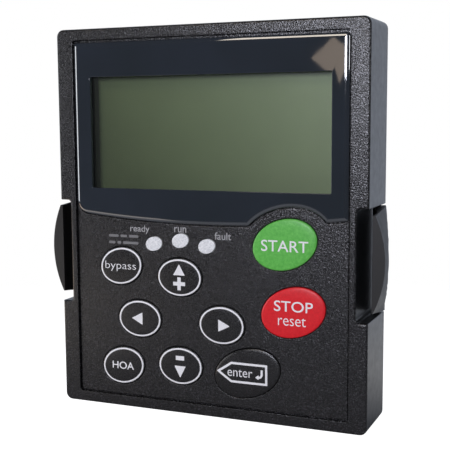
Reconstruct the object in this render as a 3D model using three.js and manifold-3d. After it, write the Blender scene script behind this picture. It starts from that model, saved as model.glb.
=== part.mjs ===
// Plug-in operator keypad of a variable frequency drive: a shallow moulded box with a display window,
// nine keys, three lamps and two squeeze latches at the sides. Millimetres, +Z up, front towards -Y.
// Depths inside this file are measured from the front plane of the border, positive towards the rear.
import * as THREE from 'three';
import { mergeVertices } from 'three/addons/utils/BufferGeometryUtils.js';
import Module from 'manifold-3d';

const wasm = await Module();
wasm.setup();

// ---- Driving dimensions ----
const FACE_WIDTH = 105;
const FACE_HEIGHT = 124;
const SKIRT_DEPTH = 21;
const TOTAL_DEPTH = 27;
const WALL = 2.2;
const CORNER_RADIUS = 2.3;
const GAP = 0.3; // left between pieces that touch
const KEY_CLEARANCE = 0.25;

// Border and the layers behind the front plane.
const BORDER_SIDE = 5.8;
const BORDER_END = 3.6;
const OVERLAY_FRONT = 0.8;
const OVERLAY_BACK = 1.3;
const PANEL_FRONT = OVERLAY_BACK + GAP;
const PANEL_BACK = 3.6;

// Display.
const BEZEL_FRONT = 0.15;
const BEZEL_TOP = 119.6;
const BEZEL_HALF_WIDTH = 46.3;
const BEZEL_LOW_POINT = 61.8;
const BEZEL_ARC_RADIUS = 370;
const BEZEL_LEFT_CORNER = 4.5;
const BEZEL_RIGHT_CORNER = 0.7;
const BEZEL_TOP_CORNER = 1.2;
const APERTURE = { x: 0.3, z: 90.6, width: 81.2, height: 35.8 };
const PANE_MARGIN = 1.6;
const PANE_BACK = 2.8;
const LCD_FRONT = 6.6;
const LCD_THICKNESS = 1.8;
const LCD_BACK = LCD_FRONT + LCD_THICKNESS;
const LCD_SIZE = { width: 86, height: 41 };
const BACKLIGHT = { width: 84, height: 34, front: LCD_BACK + GAP, thickness: 2.5 };
const CONTACT_STRIP = { thickness: 2.4, shorter: 6 };
const FRAME_WALL = 1.5;

// Keys: centre, half-axes of the oval and its tilt. The four arrow keys form a cross.
const LARGE_KEY = { a: 10.6, b: 7.7, tilt: 18.5 };
const RING_KEY = { a: 7.9, b: 6.3 };
const CROSS = { x: -9.2, z: 30.05, spread: 14.5 };
const RING_TILT = 13;
const KEYS = [
  { name: 'key_start', x: 26.2, z: 56.7, ...LARGE_KEY, color: 0x56ab45 },
  { name: 'key_stop', x: 29.0, z: 35.9, ...LARGE_KEY, color: 0xc8202c },
  { name: 'key_enter', x: 13.9, z: 15.4, ...LARGE_KEY, a: 11.3, color: 0x2a2a2d },
  { name: 'key_bypass', x: -30.3, z: 47.2, ...RING_KEY, tilt: RING_TILT, color: 0x2a2a2d },
  { name: 'key_hoa', x: -30.1, z: 13.8, ...RING_KEY, tilt: RING_TILT, color: 0x2a2a2d },
  { name: 'key_up', x: CROSS.x, z: CROSS.z + CROSS.spread, ...RING_KEY, tilt: 0, color: 0x2a2a2d },
  { name: 'key_down', x: CROSS.x, z: CROSS.z - CROSS.spread, ...RING_KEY, tilt: 0, color: 0x2a2a2d },
  { name: 'key_left', x: CROSS.x - CROSS.spread, z: CROSS.z, ...RING_KEY, tilt: 0, color: 0x2a2a2d },
  { name: 'key_right', x: CROSS.x + CROSS.spread, z: CROSS.z, ...RING_KEY, tilt: 0, color: 0x2a2a2d },
];
const KEY_TOP = 0.3;
const KEY_RIM = 0.6;
const KEY_FLANGE = 0.9;
const KEY_FLANGE_FRONT = PANEL_BACK + GAP;
const KEY_END = 4.6;
const KEY_ROUND = { across: 0.5, crown: 0.18 };
const KEY_SEGMENTS = 24;
const SCOOP = { a: 15.4, b: 11.15 }; // half-axes of the bezel's scoop around the start key

// Lamps beside the keys.
const LAMP = { a: 3, b: 2.3, tilt: 15 };
const LAMPS = [
  { name: 'ready', x: -18.3, z: 55.0 },
  { name: 'run', x: -8.9, z: 56.4 },
  { name: 'fault', x: 0.3, z: 55.0 },
];
const LAMP_FRONT = 0.65;
const LAMP_END = 4.4;
const LAMP_ROUND = 0.3;
const LAMP_SEGMENTS = 16;
const DIODE = { width: 3.2, height: 1.6 };

// Key board with its snap domes, and the main board.
const KEY_BOARD = { front: 6.2, back: 7.4, halfWidth: 42.5, low: 5, high: 62.4 };
const KEY_BOARD_POST = { x: 40.4, low: 7.2, high: 60.1, radius: 1.6, bore: 0.9, boardHole: 1.2 };
const DOME = { radius: 3.4, height: 0.7, thickness: 0.15, rings: 2, segments: 14 };
const MAIN_BOARD = { front: 12, back: 13.6, halfWidth: 44, low: 10.5, high: 113.5 };
const MAIN_BOARD_POST = { x: 40, z: 62, radius: 2.4, bore: 0.9, boardHole: 1.5 };
const CONNECTOR = { x: 0, z: 25, width: 26, height: 5 };
const MICROCONTROLLER = { x: -18, z: 84, side: 14, thickness: 1.4 };
const MEMORY_CHIP = { x: 8, z: 84, width: 8, height: 5, thickness: 1.6 };
const CRYSTAL = { x: -18, z: 70, width: 11, height: 4.6, thickness: 3.5 };
const CAPACITOR = { x: 26, z: 74, radius: 3.1 };

// Rear cover, its four screws and the nine-way socket.
const COVER_FRONT = 18.6;
const COVER_BACK = 20.5;
const SCREW_POST = { x: 46.2, low: 6.4, high: 117.6, radius: 3, bore: 1.5 };
const COVER_SCREW = { head: 2.3, height: 1.1, shank: 1.2, hole: 1.6, end: PANEL_BACK + 4 };
const BOARD_SCREW = { head: 1.7, height: 0.9, shank: 0.6, end: PANEL_BACK + 0.8 };
const MAIN_SCREW = { head: 2.2, height: 1.2, shank: 0.6 };
const LABEL_RECESS = { z: 86, width: 62, height: 30, depth: 0.4, radius: 1.5 };
const SOCKET_Z = 46;
const BOSS = { halfWidth: 20.5, halfHeight: 9.6, back: 25, wall: 1.6, radius: 2.5 };
const SOCKET = { flangeFront: 22.4, flangeBack: 23.2, width: 16.9, height: 8.4, wall: 0.5 };
const SOCKET_FLANGE = { width: 30.8, height: 12.4 };
const SOCKET_WINDOW = { width: 19, height: 10.6, radius: 2 };
const SOCKET_BASE = { width: 20, height: 10.5 };
const JACK = { spacing: 25, hole: 1.7, shank: 1.3, hexagon: 2.7, bore: 1.2 };
const CONTACTS = { pitch: 2.77, rowGap: 2.84, radius: 0.55 };

// Squeeze latches in a notch at each side.
const NOTCH = { low: 34.4, high: 68.4, depth: 3.7, radius: 1.2 };
const ARM = {
  front: 2,
  back: 20.6,
  straightEnd: 7,
  innerFace: 0.6,
  bulge: 4.45,
  bowRadius: 34,
  bowMiddle: 52.3,
  tip: 0.9,
  frontLow: 37.3,
  frontHigh: 66.3,
};
const ARM_END_CLEARANCE = 0.4;
const PIVOT = { inboard: 1.9, depth: 18.6, rootHalf: 1.3, pinRadius: 0.95, pinLength: 1.8, holeReach: 4 };

const halfWidth = FACE_WIDTH / 2;

// ---- Materials ----
function plastic(color, roughness) {
  return new THREE.MeshStandardMaterial({ color, roughness, metalness: 0 });
}

function metal(color, roughness) {
  return new THREE.MeshStandardMaterial({ color, roughness, metalness: 1 });
}

const HOUSING_COLOR = 0x2b2b2e;
const BOARD_COLOR = 0x1f5a34;
const CHIP_COLOR = 0x18181a;
const STEEL_COLOR = 0xb9bcc0;

// ---- Shapes, drawn as (x, z), (x, y) or (y, z) ----
function polygon(points) {
  return new THREE.Shape(points.map(([u, v]) => new THREE.Vector2(u, v)));
}

/** A closed outline whose corners are rounded with arcs. Each corner is [u, v, radius]. */
function roundedPolygon(corners) {
  const shape = new THREE.Shape();
  const points = corners.map(([u, v]) => new THREE.Vector2(u, v));
  corners.forEach(([, , radius], i) => {
    const corner = points[i];
    const before = points.at(i - 1).clone().sub(corner).normalize();
    const after = points[(i + 1) % points.length].clone().sub(corner).normalize();
    const draw = i === 0 ? 'moveTo' : 'lineTo';
    if (radius === 0) {
      shape[draw](corner.x, corner.y);
      return;
    }
    const half = Math.acos(THREE.MathUtils.clamp(before.dot(after), -1, 1)) / 2;
    const start = before.clone().multiplyScalar(radius / Math.tan(half)).add(corner);
    const end = after.clone().multiplyScalar(radius / Math.tan(half)).add(corner);
    const toCentre = before.clone().add(after).normalize().multiplyScalar(radius / Math.sin(half));
    const centre = toCentre.add(corner);
    shape[draw](start.x, start.y);
    const from = Math.atan2(start.y - centre.y, start.x - centre.x);
    const to = Math.atan2(end.y - centre.y, end.x - centre.x);
    shape.absarc(centre.x, centre.y, radius, from, to, before.cross(after) > 0);
  });
  shape.closePath();
  return shape;
}

function roundedRect(x, z, width, height, radius) {
  const [w, h] = [width / 2, height / 2];
  return roundedPolygon([
    [x - w, z - h, radius],
    [x + w, z - h, radius],
    [x + w, z + h, radius],
    [x - w, z + h, radius],
  ]);
}

function oval(x, z, a, b, tilt) {
  const shape = new THREE.Shape();
  shape.absellipse(x, z, a, b, 0, 2 * Math.PI, false, THREE.MathUtils.degToRad(tilt));
  return shape;
}

/** The skirt's outline with a notch at each side, all of it moved inwards by inset. */
function skirtOutline(inset) {
  const side = halfWidth - inset;
  const pocket = halfWidth - NOTCH.depth - inset;
  const [low, high] = [inset, FACE_HEIGHT - inset];
  const [notchLow, notchHigh] = [NOTCH.low - inset, NOTCH.high + inset];
  const outer = Math.max(CORNER_RADIUS - inset, 0.8);
  const right = [
    [side, low, outer],
    [side, notchLow, 0],
    [pocket, notchLow, NOTCH.radius],
    [pocket, notchHigh, NOTCH.radius],
    [side, notchHigh, 0],
    [side, high, outer],
  ];
  const left = right.map(([x, z, radius]) => [-x, z, radius]).reverse();
  return roundedPolygon([...right, ...left]);
}

/** The display bezel's outline without the scoop over the start key, moved outwards by grow. */
function bezelOutline(grow) {
  const side = BEZEL_HALF_WIDTH + grow;
  const radius = BEZEL_ARC_RADIUS + grow;
  const centre = BEZEL_LOW_POINT + BEZEL_ARC_RADIUS;
  const top = BEZEL_TOP + grow;
  const topCorner = BEZEL_TOP_CORNER + grow;
  const lowCorner = (size) => {
    const corner = size + grow;
    const arm = radius - corner;
    const reach = Math.asin((side - corner) / arm);
    return { corner, reach, x: Math.sin(reach) * arm, z: centre - Math.cos(reach) * arm };
  };
  const left = lowCorner(BEZEL_LEFT_CORNER);
  const right = lowCorner(BEZEL_RIGHT_CORNER);
  const shape = new THREE.Shape();
  shape.moveTo(-side, left.z);
  shape.absarc(-left.x, left.z, left.corner, Math.PI, 1.5 * Math.PI - left.reach, false);
  shape.absarc(0, centre, radius, 1.5 * Math.PI - left.reach, 1.5 * Math.PI + right.reach, false);
  shape.absarc(right.x, right.z, right.corner, 1.5 * Math.PI + right.reach, 2 * Math.PI, false);
  shape.absarc(side - topCorner, top - topCorner, topCorner, 0, 0.5 * Math.PI, false);
  shape.absarc(topCorner - side, top - topCorner, topCorner, 0.5 * Math.PI, Math.PI, false);
  shape.closePath();
  return shape;
}

/** The oval scoop that the bezel leaves around the start key, moved inwards by shrink. */
function scoop(shrink) {
  const start = KEYS[0];
  return oval(start.x, start.z, SCOOP.a - shrink, SCOOP.b - shrink, start.tilt);
}

/** The D outline of a nine-way socket, its long side up. */
function socketOutline(width, height) {
  const [w, h] = [width / 2, height / 2];
  const slant = height * Math.tan(THREE.MathUtils.degToRad(10));
  return roundedPolygon([
    [-(w - slant), SOCKET_Z - h, 1.6],
    [w - slant, SOCKET_Z - h, 1.6],
    [w, SOCKET_Z + h, 1.6],
    [-w, SOCKET_Z + h, 1.6],
  ]);
}

// ---- Solids ----
function extruded(shape, length, basis, curveSegments) {
  const geometry = new THREE.ExtrudeGeometry(shape, { depth: length, bevelEnabled: false, curveSegments });
  return geometry.applyMatrix4(basis);
}

/** A prism from depth front to depth back, its section drawn as (x, z). */
function prismY(shape, front, back, curveSegments = 3) {
  const basis = new THREE.Matrix4().makeBasis(
    new THREE.Vector3(1, 0, 0),
    new THREE.Vector3(0, 0, 1),
    new THREE.Vector3(0, -1, 0),
  );
  return extruded(shape, back - front, basis.setPosition(0, back, 0), curveSegments);
}

/** A prism from low to high, its section drawn as (x, y). */
function prismZ(shape, low, high, curveSegments = 3) {
  return extruded(shape, high - low, new THREE.Matrix4().setPosition(0, 0, low), curveSegments);
}

/** A prism from left to right, its section drawn as (y, z). */
function prismX(shape, left, right, curveSegments = 3) {
  const basis = new THREE.Matrix4().makeBasis(
    new THREE.Vector3(0, 1, 0),
    new THREE.Vector3(0, 0, 1),
    new THREE.Vector3(1, 0, 0),
  );
  return extruded(shape, right - left, basis.setPosition(left, 0, 0), curveSegments);
}

function block(x, z, width, height, front, back) {
  return prismY(roundedRect(x, z, width, height, 0), front, back);
}

/** A cylinder along the depth at (x, z). */
function rod(x, z, radius, front, back, segments = 12) {
  const geometry = new THREE.CylinderGeometry(radius, radius, back - front, segments);
  return geometry.translate(x, (front + back) / 2, z);
}

/** A turned piece about a depth axis at (x, z). The profile runs from its front to its rear as [r, depth]. */
function turned(profile, x, z, segments, squeeze = 1, tilt = 0) {
  const points = profile.map(([r, depth]) => new THREE.Vector2(r, depth));
  const geometry = new THREE.LatheGeometry(points, segments);
  geometry.scale(1, 1, squeeze);
  geometry.rotateY(-THREE.MathUtils.degToRad(tilt));
  return geometry.translate(x, 0, z);
}

function solidOf(geometry) {
  const bare = geometry.clone();
  bare.deleteAttribute('normal');
  bare.deleteAttribute('uv');
  const merged = mergeVertices(bare);
  const vertProperties = merged.attributes.position.array;
  const triVerts = Uint32Array.from(merged.index.array);
  return new wasm.Manifold(new wasm.Mesh({ numProp: 3, vertProperties, triVerts }));
}

function geometryOf(solid) {
  const { vertProperties, triVerts } = solid.getMesh();
  const geometry = new THREE.BufferGeometry();
  geometry.setAttribute('position', new THREE.BufferAttribute(vertProperties, 3));
  geometry.setIndex(new THREE.BufferAttribute(triVerts, 1));
  geometry.computeVertexNormals();
  return geometry;
}

function joined(first, ...others) {
  return others.reduce((sum, geometry) => sum.add(solidOf(geometry)), solidOf(first));
}

function cut(solid, ...tools) {
  return tools.reduce((rest, geometry) => rest.subtract(solidOf(geometry)), solid);
}

// ---- The assembly ----
const keypad = new THREE.Group();
keypad.position.y = -TOTAL_DEPTH / 2;

function addPiece(name, geometry, material) {
  const mesh = new THREE.Mesh(geometry, material);
  mesh.name = name;
  keypad.add(mesh);
  return mesh;
}

/** The four places of a screw or post, left and right at its low and its high level. */
function atCorners({ x, low, high }) {
  return [
    [-x, low],
    [x, low],
    [-x, high],
    [x, high],
  ];
}

/** The same piece at the left and at the right of the middle. */
function mirrored(make) {
  return [-1, 1].map(make);
}

// Housing: a skirt with a border round a sunken panel, open at the rear.
function makeHousing() {
  let body = solidOf(prismY(skirtOutline(0), 0, SKIRT_DEPTH));
  body = cut(body, prismY(skirtOutline(WALL), PANEL_BACK, SKIRT_DEPTH + 1));
  const recess = { width: FACE_WIDTH - 2 * BORDER_SIDE, height: FACE_HEIGHT - 2 * BORDER_END };
  body = cut(body, prismY(roundedRect(0, FACE_HEIGHT / 2, recess.width, recess.height, 1), -1, PANEL_FRONT));
  const coverPosts = atCorners(SCREW_POST).map(([x, z]) =>
    rod(x, z, SCREW_POST.radius, PANEL_BACK - 1, COVER_FRONT - GAP),
  );
  const boardPosts = atCorners(KEY_BOARD_POST).map(([x, z]) =>
    rod(x, z, KEY_BOARD_POST.radius, PANEL_BACK - 1, KEY_BOARD.front - GAP),
  );
  body = [...coverPosts, ...boardPosts].reduce((sum, post) => sum.add(solidOf(post)), body);
  const pane = paneSize(GAP);
  body = cut(body, block(APERTURE.x, APERTURE.z, pane.width, pane.height, -1, PANEL_BACK + 1));
  const keyHoles = KEYS.map((key) => keyHole(key, KEY_CLEARANCE));
  const lampHoles = LAMPS.map((lamp) => keyHole({ ...lamp, ...LAMP }, GAP, LAMP_SEGMENTS));
  body = cut(body, ...keyHoles, ...lampHoles);
  const coverBores = atCorners(SCREW_POST).map(([x, z]) =>
    rod(x, z, SCREW_POST.bore, PANEL_BACK + 2, SKIRT_DEPTH),
  );
  const boardBores = atCorners(KEY_BOARD_POST).map(([x, z]) =>
    rod(x, z, KEY_BOARD_POST.bore, PANEL_BACK, KEY_BOARD.back, 8),
  );
  const holeLength = NOTCH.high - NOTCH.low + 2 * PIVOT.holeReach;
  const pinHoles = [-1, 1].map((side) => pinRod(side, PIVOT.pinRadius + GAP, holeLength));
  return geometryOf(cut(body, ...coverBores, ...boardBores, ...pinHoles));
}

/** A rod along Z on a latch's pivot line. */
function pinRod(side, radius, length) {
  const geometry = new THREE.CylinderGeometry(radius, radius, length, 12);
  geometry.rotateX(Math.PI / 2);
  return geometry.translate(side * (halfWidth - PIVOT.inboard), PIVOT.depth, (NOTCH.low + NOTCH.high) / 2);
}

function keyHole({ x, z, a, b, tilt }, clearance, segments = KEY_SEGMENTS) {
  const profile = [
    [0, -1],
    [a + clearance, -1],
    [a + clearance, PANEL_BACK + 0.1],
    [0, PANEL_BACK + 0.1],
  ];
  return turned(profile, x, z, segments, (b + clearance) / (a + clearance), tilt);
}

function paneSize(grow) {
  return {
    width: APERTURE.width + 2 * (PANE_MARGIN + grow),
    height: APERTURE.height + 2 * (PANE_MARGIN + grow),
  };
}

addPiece('front_housing', makeHousing(), plastic(HOUSING_COLOR, 0.6));

// Keypad overlay: the thin textured sheet around the keys, cut to the bezel's lower edge.
function makeOverlay() {
  const width = FACE_WIDTH - 2 * (BORDER_SIDE + GAP);
  const height = FACE_HEIGHT - 2 * (BORDER_END + GAP);
  const rim = roundedRect(0, FACE_HEIGHT / 2, width, height, 0.8);
  const sheet = solidOf(prismY(rim, OVERLAY_FRONT, OVERLAY_BACK));
  const display = solidOf(prismY(bezelOutline(GAP), -1, OVERLAY_BACK + 1, 8));
  const scooped = display.subtract(solidOf(prismY(scoop(GAP), -2, OVERLAY_BACK + 2, 12)));
  const above = block(0, FACE_HEIGHT, FACE_WIDTH, 2 * (FACE_HEIGHT - APERTURE.z), -1, OVERLAY_BACK + 1);
  const keyHoles = KEYS.map((key) => keyHole(key, KEY_CLEARANCE));
  const lampHoles = LAMPS.map((lamp) => keyHole({ ...lamp, ...LAMP }, KEY_CLEARANCE, LAMP_SEGMENTS));
  return geometryOf(cut(sheet.subtract(scooped), above, ...keyHoles, ...lampHoles));
}

addPiece('keypad_overlay', makeOverlay(), plastic(HOUSING_COLOR, 0.65));

// Display: bezel, clear pane, liquid crystal cell in its frame, backlight and two contact strips.
function makeBezel() {
  const plate = solidOf(prismY(bezelOutline(0), BEZEL_FRONT, OVERLAY_BACK, 8));
  const window = block(APERTURE.x, APERTURE.z, APERTURE.width, APERTURE.height, -1, OVERLAY_BACK + 1);
  return geometryOf(cut(plate, prismY(scoop(0), -1, OVERLAY_BACK + 1, 12), window));
}

function makeDisplayFrame() {
  const width = LCD_SIZE.width + 2 * (GAP + FRAME_WALL);
  const height = LCD_SIZE.height + 2 * (GAP + FRAME_WALL);
  const [front, back] = [PANEL_BACK + GAP, MAIN_BOARD.front - GAP];
  const outer = solidOf(block(APERTURE.x, APERTURE.z, width, height, front, back));
  const pocket = block(
    APERTURE.x,
    APERTURE.z,
    LCD_SIZE.width + 2 * GAP,
    LCD_SIZE.height + 2 * GAP,
    LCD_FRONT - GAP,
    MAIN_BOARD.front + 1,
  );
  const tunnel = block(APERTURE.x, APERTURE.z, APERTURE.width + 1, APERTURE.height + 1, 0, LCD_FRONT);
  return geometryOf(cut(outer, pocket, tunnel));
}

const pane = paneSize(0);
addPiece('display_bezel', makeBezel(), plastic(0x1a1e24, 0.12));
addPiece(
  'display_window',
  block(APERTURE.x, APERTURE.z, pane.width, pane.height, PANEL_FRONT, PANE_BACK),
  plastic(0xdfe6e2, 0.05),
);
addPiece('lcd_frame', makeDisplayFrame(), plastic(0x2d3026, 0.5));
addPiece(
  'lcd_glass',
  block(APERTURE.x, APERTURE.z, LCD_SIZE.width, LCD_SIZE.height, LCD_FRONT, LCD_BACK),
  plastic(0x6f7a58, 0.25),
);
addPiece(
  'lcd_backlight',
  block(
    APERTURE.x,
    APERTURE.z,
    BACKLIGHT.width,
    BACKLIGHT.height,
    BACKLIGHT.front,
    BACKLIGHT.front + BACKLIGHT.thickness,
  ),
  plastic(0xe8ebdc, 0.4),
);
for (const [name, side] of [
  ['contact_strip_upper', 1],
  ['contact_strip_lower', -1],
]) {
  const { thickness, shorter } = CONTACT_STRIP;
  const z = APERTURE.z + side * (LCD_SIZE.height - thickness - 2 * GAP) / 2;
  const width = LCD_SIZE.width - shorter;
  const strip = block(APERTURE.x, z, width, thickness, BACKLIGHT.front, MAIN_BOARD.front - GAP);
  addPiece(name, strip, plastic(0x3a3a3a, 0.8));
}

// Keys: an oval cap with a shallow crown, and a flange behind the panel that keeps it in.
function makeKey({ x, z, a, b, tilt }) {
  const profile = [
    [0, KEY_TOP],
    [a - KEY_ROUND.across, KEY_TOP + KEY_ROUND.crown],
    [a, KEY_RIM],
    [a, KEY_FLANGE_FRONT],
    [a + KEY_FLANGE, KEY_FLANGE_FRONT],
    [a + KEY_FLANGE, KEY_END],
    [0, KEY_END],
  ];
  return turned(profile, x, z, KEY_SEGMENTS, b / a, tilt);
}

/** A thin domed disc standing on the key board. */
function makeDome({ x, z }) {
  const base = KEY_BOARD.front - GAP;
  const cap = (radius, height) =>
    Array.from({ length: DOME.rings + 1 }, (_, i) => {
      const share = i / DOME.rings;
      return [radius * share, base - height * (1 - share * share)];
    });
  const outer = cap(DOME.radius, DOME.height);
  const inner = cap(DOME.radius - DOME.thickness, DOME.height - DOME.thickness).reverse();
  return turned([...outer, ...inner], x, z, DOME.segments);
}

for (const key of KEYS) {
  addPiece(key.name, makeKey(key), plastic(key.color, 0.5));
}
for (const key of KEYS) {
  addPiece(key.name.replace('key', 'dome'), makeDome(key), metal(STEEL_COLOR, 0.3));
}

// Lamps: a white window through the overlay and panel, and a light-emitting diode behind it.
for (const { name, x, z } of LAMPS) {
  const profile = [
    [0, LAMP_FRONT],
    [LAMP.a - LAMP_ROUND, LAMP_FRONT],
    [LAMP.a, OVERLAY_FRONT],
    [LAMP.a, LAMP_END],
    [0, LAMP_END],
  ];
  const window = turned(profile, x, z, LAMP_SEGMENTS, LAMP.b / LAMP.a, LAMP.tilt);
  addPiece(`lamp_window_${name}`, window, plastic(0xf2f3f2, 0.5));
  const diode = block(x, z, DIODE.width, DIODE.height, LAMP_END + GAP, KEY_BOARD.front - GAP);
  addPiece(`led_${name}`, diode, plastic(0xf6f2da, 0.3));
}

// Boards and what stands on them.
function makeBoard({ front, back, halfWidth: half, low, high }, places, hole) {
  const board = solidOf(prismY(roundedRect(0, (low + high) / 2, 2 * half, high - low, 1), front, back));
  return geometryOf(cut(board, ...places.map(([x, z]) => rod(x, z, hole, front - 1, back + 1))));
}

const mainBoardPlaces = mirrored((side) => [side * MAIN_BOARD_POST.x, MAIN_BOARD_POST.z]);
const keyBoard = makeBoard(KEY_BOARD, atCorners(KEY_BOARD_POST), KEY_BOARD_POST.boardHole);
const mainBoard = makeBoard(MAIN_BOARD, mainBoardPlaces, MAIN_BOARD_POST.boardHole);
addPiece('key_board', keyBoard, plastic(BOARD_COLOR, 0.5));
addPiece('main_board', mainBoard, plastic(BOARD_COLOR, 0.5));

const partFront = MAIN_BOARD.back + GAP;
function makeChip({ x, z, width, height, thickness }) {
  return block(x, z, width, height, partFront, partFront + thickness);
}

const connector = prismY(
  roundedRect(CONNECTOR.x, CONNECTOR.z, CONNECTOR.width, CONNECTOR.height, 0),
  KEY_BOARD.back + GAP,
  MAIN_BOARD.front - GAP,
);
addPiece('board_connector', connector, plastic(CHIP_COLOR, 0.6));
const { side: chipSide } = MICROCONTROLLER;
const microcontroller = makeChip({ ...MICROCONTROLLER, width: chipSide, height: chipSide });
addPiece('microcontroller', microcontroller, plastic(CHIP_COLOR, 0.5));
addPiece('memory_chip', makeChip(MEMORY_CHIP), plastic(CHIP_COLOR, 0.5));
const crystalEnd = CRYSTAL.height / 2 - 0.1;
const crystalShape = roundedRect(CRYSTAL.x, CRYSTAL.z, CRYSTAL.width, CRYSTAL.height, crystalEnd);
addPiece('crystal', prismY(crystalShape, partFront, partFront + CRYSTAL.thickness), metal(STEEL_COLOR, 0.3));
const capacitor = rod(CAPACITOR.x, CAPACITOR.z, CAPACITOR.radius, partFront, COVER_FRONT - 2 * GAP);
addPiece('capacitor', capacitor, metal(0x8b8f94, 0.4));

// Screws: a pan head on a plain shank. The cover's screws show, so they get a cross recess.
function makeScrew(x, z, seat, { head, height, shank, end }) {
  const rear = seat + height;
  const profile = [
    [0, end],
    [shank, end],
    [shank, seat],
    [head, seat],
    [head, rear - height * 0.4],
    [head * 0.7, rear],
    [0, rear],
  ];
  return turned(profile, x, z, 12);
}

function makeCrossScrew(x, z, seat, size) {
  const floor = seat + size.height * 0.4;
  const [length, width] = [size.head * 1.1, size.head * 0.28];
  const above = seat + size.height + 1;
  const cross = [block(x, z, length, width, floor, above), block(x, z, width, length, floor, above)];
  return geometryOf(cut(solidOf(makeScrew(x, z, seat, size)), ...cross));
}

const coverSeat = COVER_BACK - COVER_SCREW.height;
atCorners(SCREW_POST).forEach(([x, z], i) => {
  const screw = makeCrossScrew(x, z, coverSeat + GAP, COVER_SCREW);
  addPiece(`cover_screw_${i + 1}`, screw, metal(STEEL_COLOR, 0.35));
});
atCorners(KEY_BOARD_POST).forEach(([x, z], i) => {
  const screw = makeScrew(x, z, KEY_BOARD.back + GAP, BOARD_SCREW);
  addPiece(`key_board_screw_${i + 1}`, screw, metal(STEEL_COLOR, 0.35));
});

// Rear cover: a plate inside the skirt with a shallow recess, and a raised boss for the socket.
function makeCover() {
  const plate = prismY(skirtOutline(WALL + GAP), COVER_FRONT, COVER_BACK);
  const bossOuter = roundedRect(0, SOCKET_Z, 2 * BOSS.halfWidth, 2 * BOSS.halfHeight, BOSS.radius);
  const innerWidth = 2 * (BOSS.halfWidth - BOSS.wall);
  const innerHeight = 2 * (BOSS.halfHeight - BOSS.wall);
  const boardPosts = mainBoardPlaces.map(([x, z]) =>
    rod(x, z, MAIN_BOARD_POST.radius, MAIN_BOARD.back + GAP, COVER_FRONT + 1),
  );
  const cover = joined(plate, prismY(bossOuter, COVER_FRONT, BOSS.back), ...boardPosts);
  const { z: labelZ, width, height, radius, depth } = LABEL_RECESS;
  const label = roundedRect(0, labelZ, width, height, radius);
  const window = roundedRect(0, SOCKET_Z, SOCKET_WINDOW.width, SOCKET_WINDOW.height, SOCKET_WINDOW.radius);
  return geometryOf(
    cut(
      cover,
      prismY(label, COVER_BACK - depth, COVER_BACK + 1),
      block(0, SOCKET_Z, innerWidth, innerHeight, COVER_FRONT - 1, BOSS.back - BOSS.wall),
      prismY(window, COVER_BACK, BOSS.back + 1),
      ...mirrored((side) => jackRod(side, JACK.hole, COVER_BACK, BOSS.back + 1)),
      ...mainBoardPlaces.map(([x, z]) => rod(x, z, MAIN_BOARD_POST.bore, 0, COVER_FRONT, 8)),
      ...atCorners(SCREW_POST).map(([x, z]) => rod(x, z, COVER_SCREW.hole, COVER_FRONT - 1, COVER_BACK + 1)),
      ...atCorners(SCREW_POST).map(([x, z]) => rod(x, z, COVER_SCREW.head + GAP, coverSeat, COVER_BACK + 1)),
    ),
  );
}

/** A rod along the depth on a jack screw's line. */
function jackRod(side, radius, front, back, segments = 12) {
  return rod((side * JACK.spacing) / 2, SOCKET_Z, radius, front, back, segments);
}

addPiece('rear_cover', makeCover(), plastic(HOUSING_COLOR, 0.6));
for (const [name, side] of [
  ['main_board_screw_left', -1],
  ['main_board_screw_right', 1],
]) {
  const seat = MAIN_BOARD.front - GAP;
  const profile = [
    [0, seat - MAIN_SCREW.height],
    [MAIN_SCREW.head, seat - MAIN_SCREW.height],
    [MAIN_SCREW.head, seat],
    [MAIN_SCREW.shank, seat],
    [MAIN_SCREW.shank, COVER_FRONT - 1.2],
    [0, COVER_FRONT - 1.2],
  ];
  addPiece(name, turned(profile, side * MAIN_BOARD_POST.x, MAIN_BOARD_POST.z, 12), metal(STEEL_COLOR, 0.35));
}

// Nine-way socket: a pressed shell with a flange, the contact block inside it, and two jack screws.
function makeSocketShell() {
  const { flangeFront, flangeBack, width, height, wall } = SOCKET;
  const flangeShape = roundedRect(0, SOCKET_Z, SOCKET_FLANGE.width, SOCKET_FLANGE.height, 1.2);
  const flange = prismY(flangeShape, flangeFront, flangeBack);
  const tube = prismY(socketOutline(width, height), flangeFront, TOTAL_DEPTH);
  const inside = prismY(socketOutline(width - 2 * wall, height - 2 * wall), flangeFront - 1, TOTAL_DEPTH + 1);
  const jacks = mirrored((side) => jackRod(side, JACK.hole, flangeFront - 1, flangeBack + 1));
  return geometryOf(cut(joined(flange, tube), inside, ...jacks));
}

function makeContactBlock() {
  const inset = 2 * (SOCKET.wall + GAP);
  const tongue = prismY(
    socketOutline(SOCKET.width - inset, SOCKET.height - inset),
    SOCKET.flangeFront - 2 * GAP,
    TOTAL_DEPTH - GAP,
  );
  const base = block(0, SOCKET_Z, SOCKET_BASE.width, SOCKET_BASE.height, partFront, SOCKET.flangeFront - GAP);
  const rows = [
    [5, 0.5],
    [4, -0.5],
  ];
  const holes = rows.flatMap(([count, row]) =>
    Array.from({ length: count }, (_, i) => {
      const x = (i - (count - 1) / 2) * CONTACTS.pitch;
      const z = SOCKET_Z + row * CONTACTS.rowGap;
      return rod(x, z, CONTACTS.radius, SOCKET.flangeFront, TOTAL_DEPTH + 1, 8);
    }),
  );
  return geometryOf(cut(joined(base, tongue), ...holes));
}

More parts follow.
